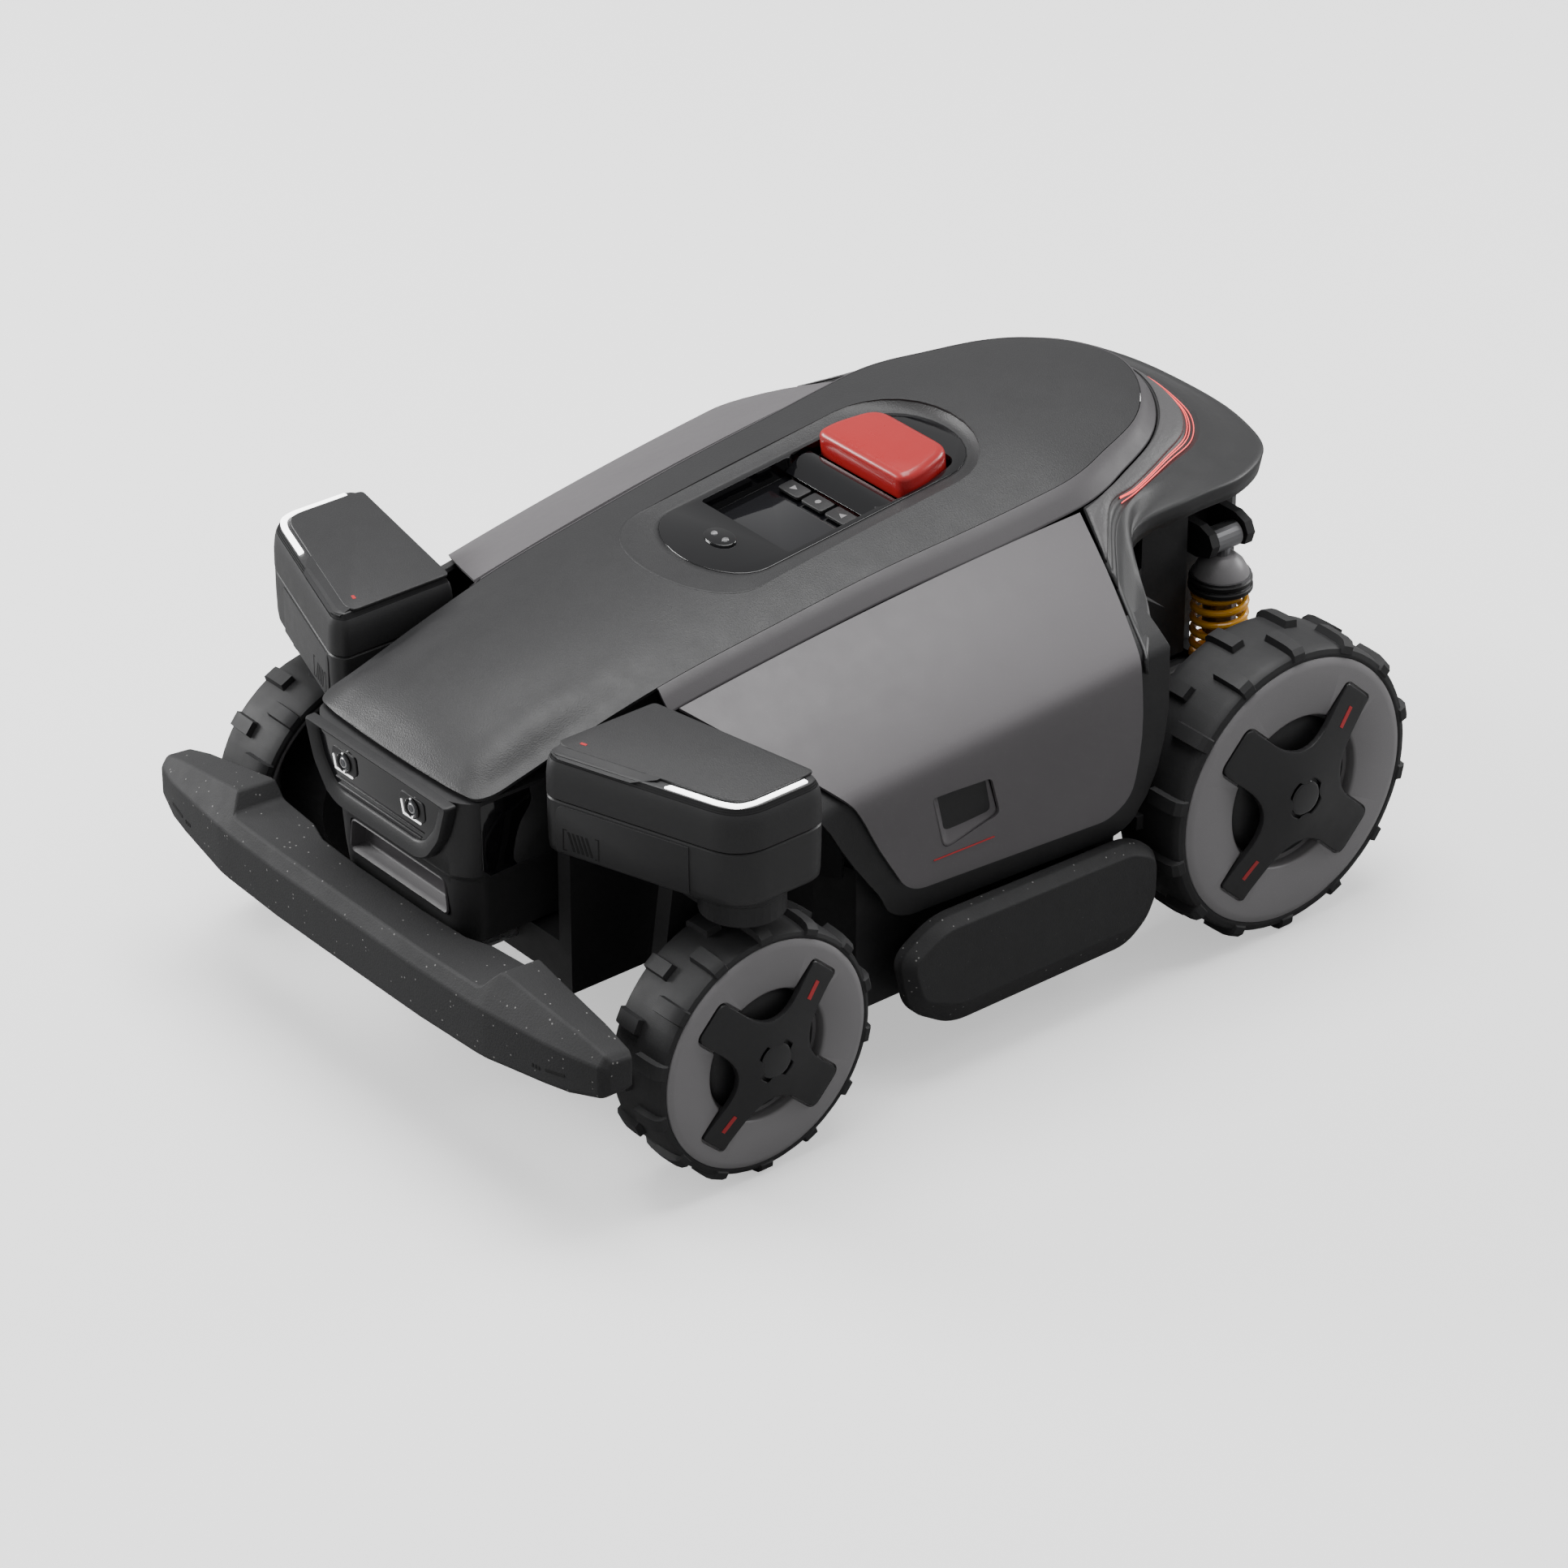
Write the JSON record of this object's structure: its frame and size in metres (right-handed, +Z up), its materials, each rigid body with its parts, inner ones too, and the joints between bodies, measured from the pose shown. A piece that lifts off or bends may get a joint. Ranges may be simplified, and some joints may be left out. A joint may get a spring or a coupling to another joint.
{
  "type": "robotic lawn mower",
  "caption": "Robotic lawn mower with steered front pods, sprung rear arms, camera head, stop button, foam guards and a floating disc of pivoting blades.",
  "frame": {"origin": "on the ground, on the centre plane, midway between the front and rear axles", "axes": "+X to the mower's left, -Y towards its front, +Z up"},
  "size_m": [0.5184, 0.742, 0.3444],
  "materials": {
    "cover_plastic": "fine leather grain",
    "band_plastic": "satin",
    "panel_plastic": "fine metallic satin",
    "frame_plastic": "fine texture",
    "gloss_black": "high gloss",
    "screen_glass": "tinted screen cover",
    "stop_red": "satin gloss",
    "lamp_white": "lit diffuser",
    "lamp_red": "lit diffuser",
    "tyre_rubber": "moulded rubber",
    "ring_grey": "satin",
    "star_plastic": "fine texture",
    "foam_guard": "moulded foam with fine pits",
    "steel": "ground",
    "alloy": "anodised",
    "spring_yellow": "powder coat",
    "battery_case": "satin"
  },
  "bodies": {
    "body": {"battery_pack": "battery_case", "camera_bezel": "star_plastic", "chassis": "frame_plastic", "console_bezel": "gloss_black", "display_screen": "screen_glass", "front_axle": "frame_plastic", "head_housing": "gloss_black", "pod_light_left": "lamp_white", "pod_light_right": "lamp_white", "pod_lower_left": "cover_plastic", "pod_lower_right": "cover_plastic", "pod_upper_left": "cover_plastic", "pod_upper_right": "cover_plastic", "rain_sensor": "gloss_black", "rear_body": "frame_plastic", "shoulder_band": "band_plastic", "side_camera_left": "gloss_black", "side_camera_right": "gloss_black", "side_frame_left": "frame_plastic", "side_frame_right": "frame_plastic", "side_guard_left": "foam_guard", "side_guard_right": "foam_guard", "side_panel_left": "panel_plastic", "side_panel_right": "panel_plastic", "stereo_camera": "gloss_black", "tail_cover": "cover_plastic", "tail_light": "lamp_red", "top_cover": "cover_plastic"},
    "bumper": {"front_bumper": "foam_guard"},
    "stop_button": {"stop_button": "stop_red"},
    "key_left": {"key_left": "gloss_black"},
    "key_ok": {"key_ok": "gloss_black"},
    "key_right": {"key_right": "gloss_black"},
    "cutting_deck": {"cutting_deck": "frame_plastic"},
    "blade_disc": {"blade_disc": "steel"},
    "blade_1": {"blade_1": "steel"},
    "blade_2": {"blade_2": "steel"},
    "blade_3": {"blade_3": "steel"},
    "steering_fork_left": {"steering_fork_left": "frame_plastic"},
    "rear_arm_left": {"rear_arm_left": "frame_plastic"},
    "shock_body_left": {"shock_body_left": "alloy", "shock_spring_left": "spring_yellow"},
    "shock_rod_left": {"shock_rod_left": "steel"},
    "front_wheel_left": {"front_tyre_left": "tyre_rubber", "front_rim_left": "ring_grey", "front_star_left": "star_plastic"},
    "rear_wheel_left": {"rear_tyre_left": "tyre_rubber", "rear_rim_left": "ring_grey", "rear_star_left": "star_plastic"},
    "steering_fork_right": {"steering_fork_right": "frame_plastic"},
    "rear_arm_right": {"rear_arm_right": "frame_plastic"},
    "shock_body_right": {"shock_body_right": "alloy", "shock_spring_right": "spring_yellow"},
    "shock_rod_right": {"shock_rod_right": "steel"},
    "front_wheel_right": {"front_tyre_right": "tyre_rubber", "front_rim_right": "ring_grey", "front_star_right": "star_plastic"},
    "rear_wheel_right": {"rear_tyre_right": "tyre_rubber", "rear_rim_right": "ring_grey", "rear_star_right": "star_plastic"}
  },
  "joints": [
    {"name": "bumper_push", "type": "slide", "parent": "body", "child": "bumper", "axis": [0, 1, 0], "range_m": [0, 0.005], "stiffness_N_per_m": 1500, "springref_m": -0.002},
    {"name": "stop_press", "type": "slide", "parent": "body", "child": "stop_button", "axis": [0, 0.1045, -0.9945], "range_m": [0, 0.004], "stiffness_N_per_m": 900, "springref_m": -0.002},
    {"name": "key_left_press", "type": "slide", "parent": "body", "child": "key_left", "axis": [0, 0.1045, -0.9945], "range_m": [0, 0.0012], "stiffness_N_per_m": 700, "springref_m": -0.001},
    {"name": "key_ok_press", "type": "slide", "parent": "body", "child": "key_ok", "axis": [0, 0.1045, -0.9945], "range_m": [0, 0.0012], "stiffness_N_per_m": 700, "springref_m": -0.001},
    {"name": "key_right_press", "type": "slide", "parent": "body", "child": "key_right", "axis": [0, 0.1045, -0.9945], "range_m": [0, 0.0012], "stiffness_N_per_m": 700, "springref_m": -0.001},
    {"name": "steer_left", "type": "hinge", "parent": "body", "child": "steering_fork_left", "pos_m": [0.2235, -0.235, 0.205], "axis": [0, 0, 1], "range_deg": [-35, 35]},
    {"name": "front_wheel_left_spin", "type": "hinge", "parent": "steering_fork_left", "child": "front_wheel_left", "pos_m": [0.22195, -0.235, 0.093], "axis": [1, 0, 0], "continuous": true},
    {"name": "rear_arm_left_swing", "type": "hinge", "parent": "body", "child": "rear_arm_left", "pos_m": [0.062, 0.25, 0.105], "axis": [0, -1, 0], "range_deg": [-6, 6], "stiffness_Nm_per_rad": 120, "springref_deg": -2.86},
    {"name": "rear_wheel_left_spin", "type": "hinge", "parent": "rear_arm_left", "child": "rear_wheel_left", "pos_m": [0.2109, 0.235, 0.1126], "axis": [1, 0, 0], "continuous": true},
    {"name": "shock_left_swing", "type": "hinge", "parent": "body", "child": "shock_body_left", "pos_m": [0.12, 0.275, 0.246], "axis": [0, -1, 0], "range_deg": [-1.5, 1.5]},
    {"name": "shock_left_stroke", "type": "slide", "parent": "shock_body_left", "child": "shock_rod_left", "axis": [0, 0, 1], "range_m": [-0.0075, 0.0075], "deforming": ["shock_spring_left"]},
    {"name": "steer_right", "type": "hinge", "parent": "body", "child": "steering_fork_right", "pos_m": [-0.2235, -0.235, 0.205], "axis": [0, 0, 1], "range_deg": [-35, 35]},
    {"name": "front_wheel_right_spin", "type": "hinge", "parent": "steering_fork_right", "child": "front_wheel_right", "pos_m": [-0.22195, -0.235, 0.093], "axis": [1, 0, 0], "continuous": true},
    {"name": "rear_arm_right_swing", "type": "hinge", "parent": "body", "child": "rear_arm_right", "pos_m": [-0.062, 0.25, 0.105], "axis": [0, 1, 0], "range_deg": [-6, 6], "stiffness_Nm_per_rad": 120, "springref_deg": -2.86},
    {"name": "rear_wheel_right_spin", "type": "hinge", "parent": "rear_arm_right", "child": "rear_wheel_right", "pos_m": [-0.2109, 0.235, 0.1126], "axis": [1, 0, 0], "continuous": true},
    {"name": "shock_right_swing", "type": "hinge", "parent": "body", "child": "shock_body_right", "pos_m": [-0.12, 0.275, 0.246], "axis": [0, 1, 0], "range_deg": [-1.5, 1.5]},
    {"name": "shock_right_stroke", "type": "slide", "parent": "shock_body_right", "child": "shock_rod_right", "axis": [0, 0, 1], "range_m": [-0.0075, 0.0075], "deforming": ["shock_spring_right"]},
    {"name": "deck_height", "type": "slide", "parent": "body", "child": "cutting_deck", "axis": [0, 0, 1], "range_m": [-0.025, 0.03]},
    {"name": "blade_disc_spin", "type": "hinge", "parent": "cutting_deck", "child": "blade_disc", "pos_m": [0, 0.01, 0.056], "axis": [0, 0, 1], "continuous": true},
    {"name": "blade_1_swing", "type": "hinge", "parent": "blade_disc", "child": "blade_1", "pos_m": [0, 0.096, 0.0527], "axis": [0, 0, 1], "continuous": true},
    {"name": "blade_2_swing", "type": "hinge", "parent": "blade_disc", "child": "blade_2", "pos_m": [-0.07448, -0.033, 0.0527], "axis": [0, 0, 1], "continuous": true},
    {"name": "blade_3_swing", "type": "hinge", "parent": "blade_disc", "child": "blade_3", "pos_m": [0.07448, -0.033, 0.0527], "axis": [0, 0, 1], "continuous": true}
  ],
  "couplings": [
    {"joint": "steer_right", "follows": "steer_left", "ratio": 1},
    {"joint": "shock_left_swing", "follows": "rear_arm_left_swing", "ratio": -0.167},
    {"joint": "shock_left_stroke", "follows": "rear_arm_left_swing", "m_per_rad": 0.0578},
    {"joint": "shock_right_swing", "follows": "rear_arm_right_swing", "ratio": -0.167},
    {"joint": "shock_right_stroke", "follows": "rear_arm_right_swing", "m_per_rad": 0.0578}
  ]
}
